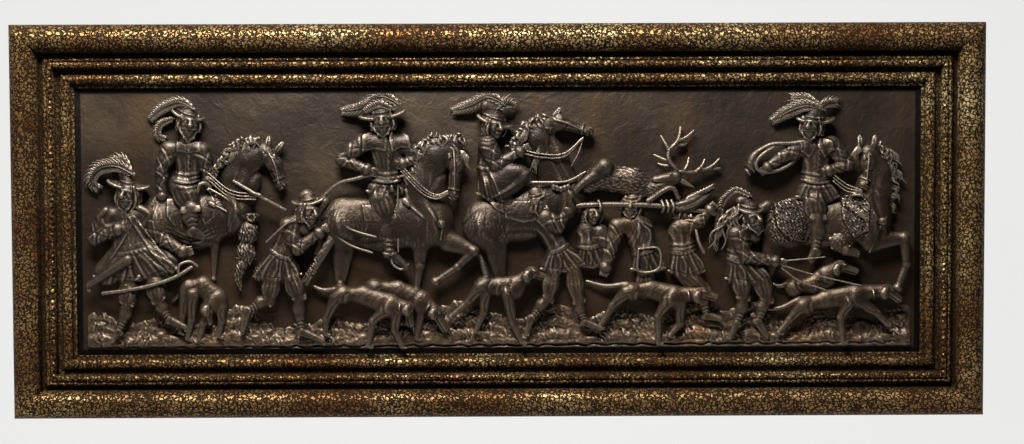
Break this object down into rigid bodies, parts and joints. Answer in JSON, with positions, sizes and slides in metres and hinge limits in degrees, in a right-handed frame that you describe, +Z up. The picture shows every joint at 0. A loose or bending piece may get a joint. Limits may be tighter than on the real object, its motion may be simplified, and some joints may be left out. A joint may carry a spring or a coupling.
{
  "type": "relief plaque",
  "caption": "Long bronze relief of a mounted hunting party with hounds and a stag, in a wide mitred black and gold moulding; hangs on a wall",
  "frame": {"origin": "middle of the top rail's flat back, where the plaque hangs against the wall", "axes": "+X along the plaque's length to the viewer's right, +Y into the wall, +Z up; the relief faces -Y"},
  "size_m": [1.2, 0.045, 0.486],
  "materials": {
    "crackle_gilt": "satin",
    "dark_bronze": "satin"
  },
  "bodies": {
    "root": {"frame_top": "crackle_gilt", "frame_bottom": "crackle_gilt", "frame_left": "crackle_gilt", "frame_right": "crackle_gilt", "bronze_relief": "dark_bronze"}
  },
  "joints": []
}
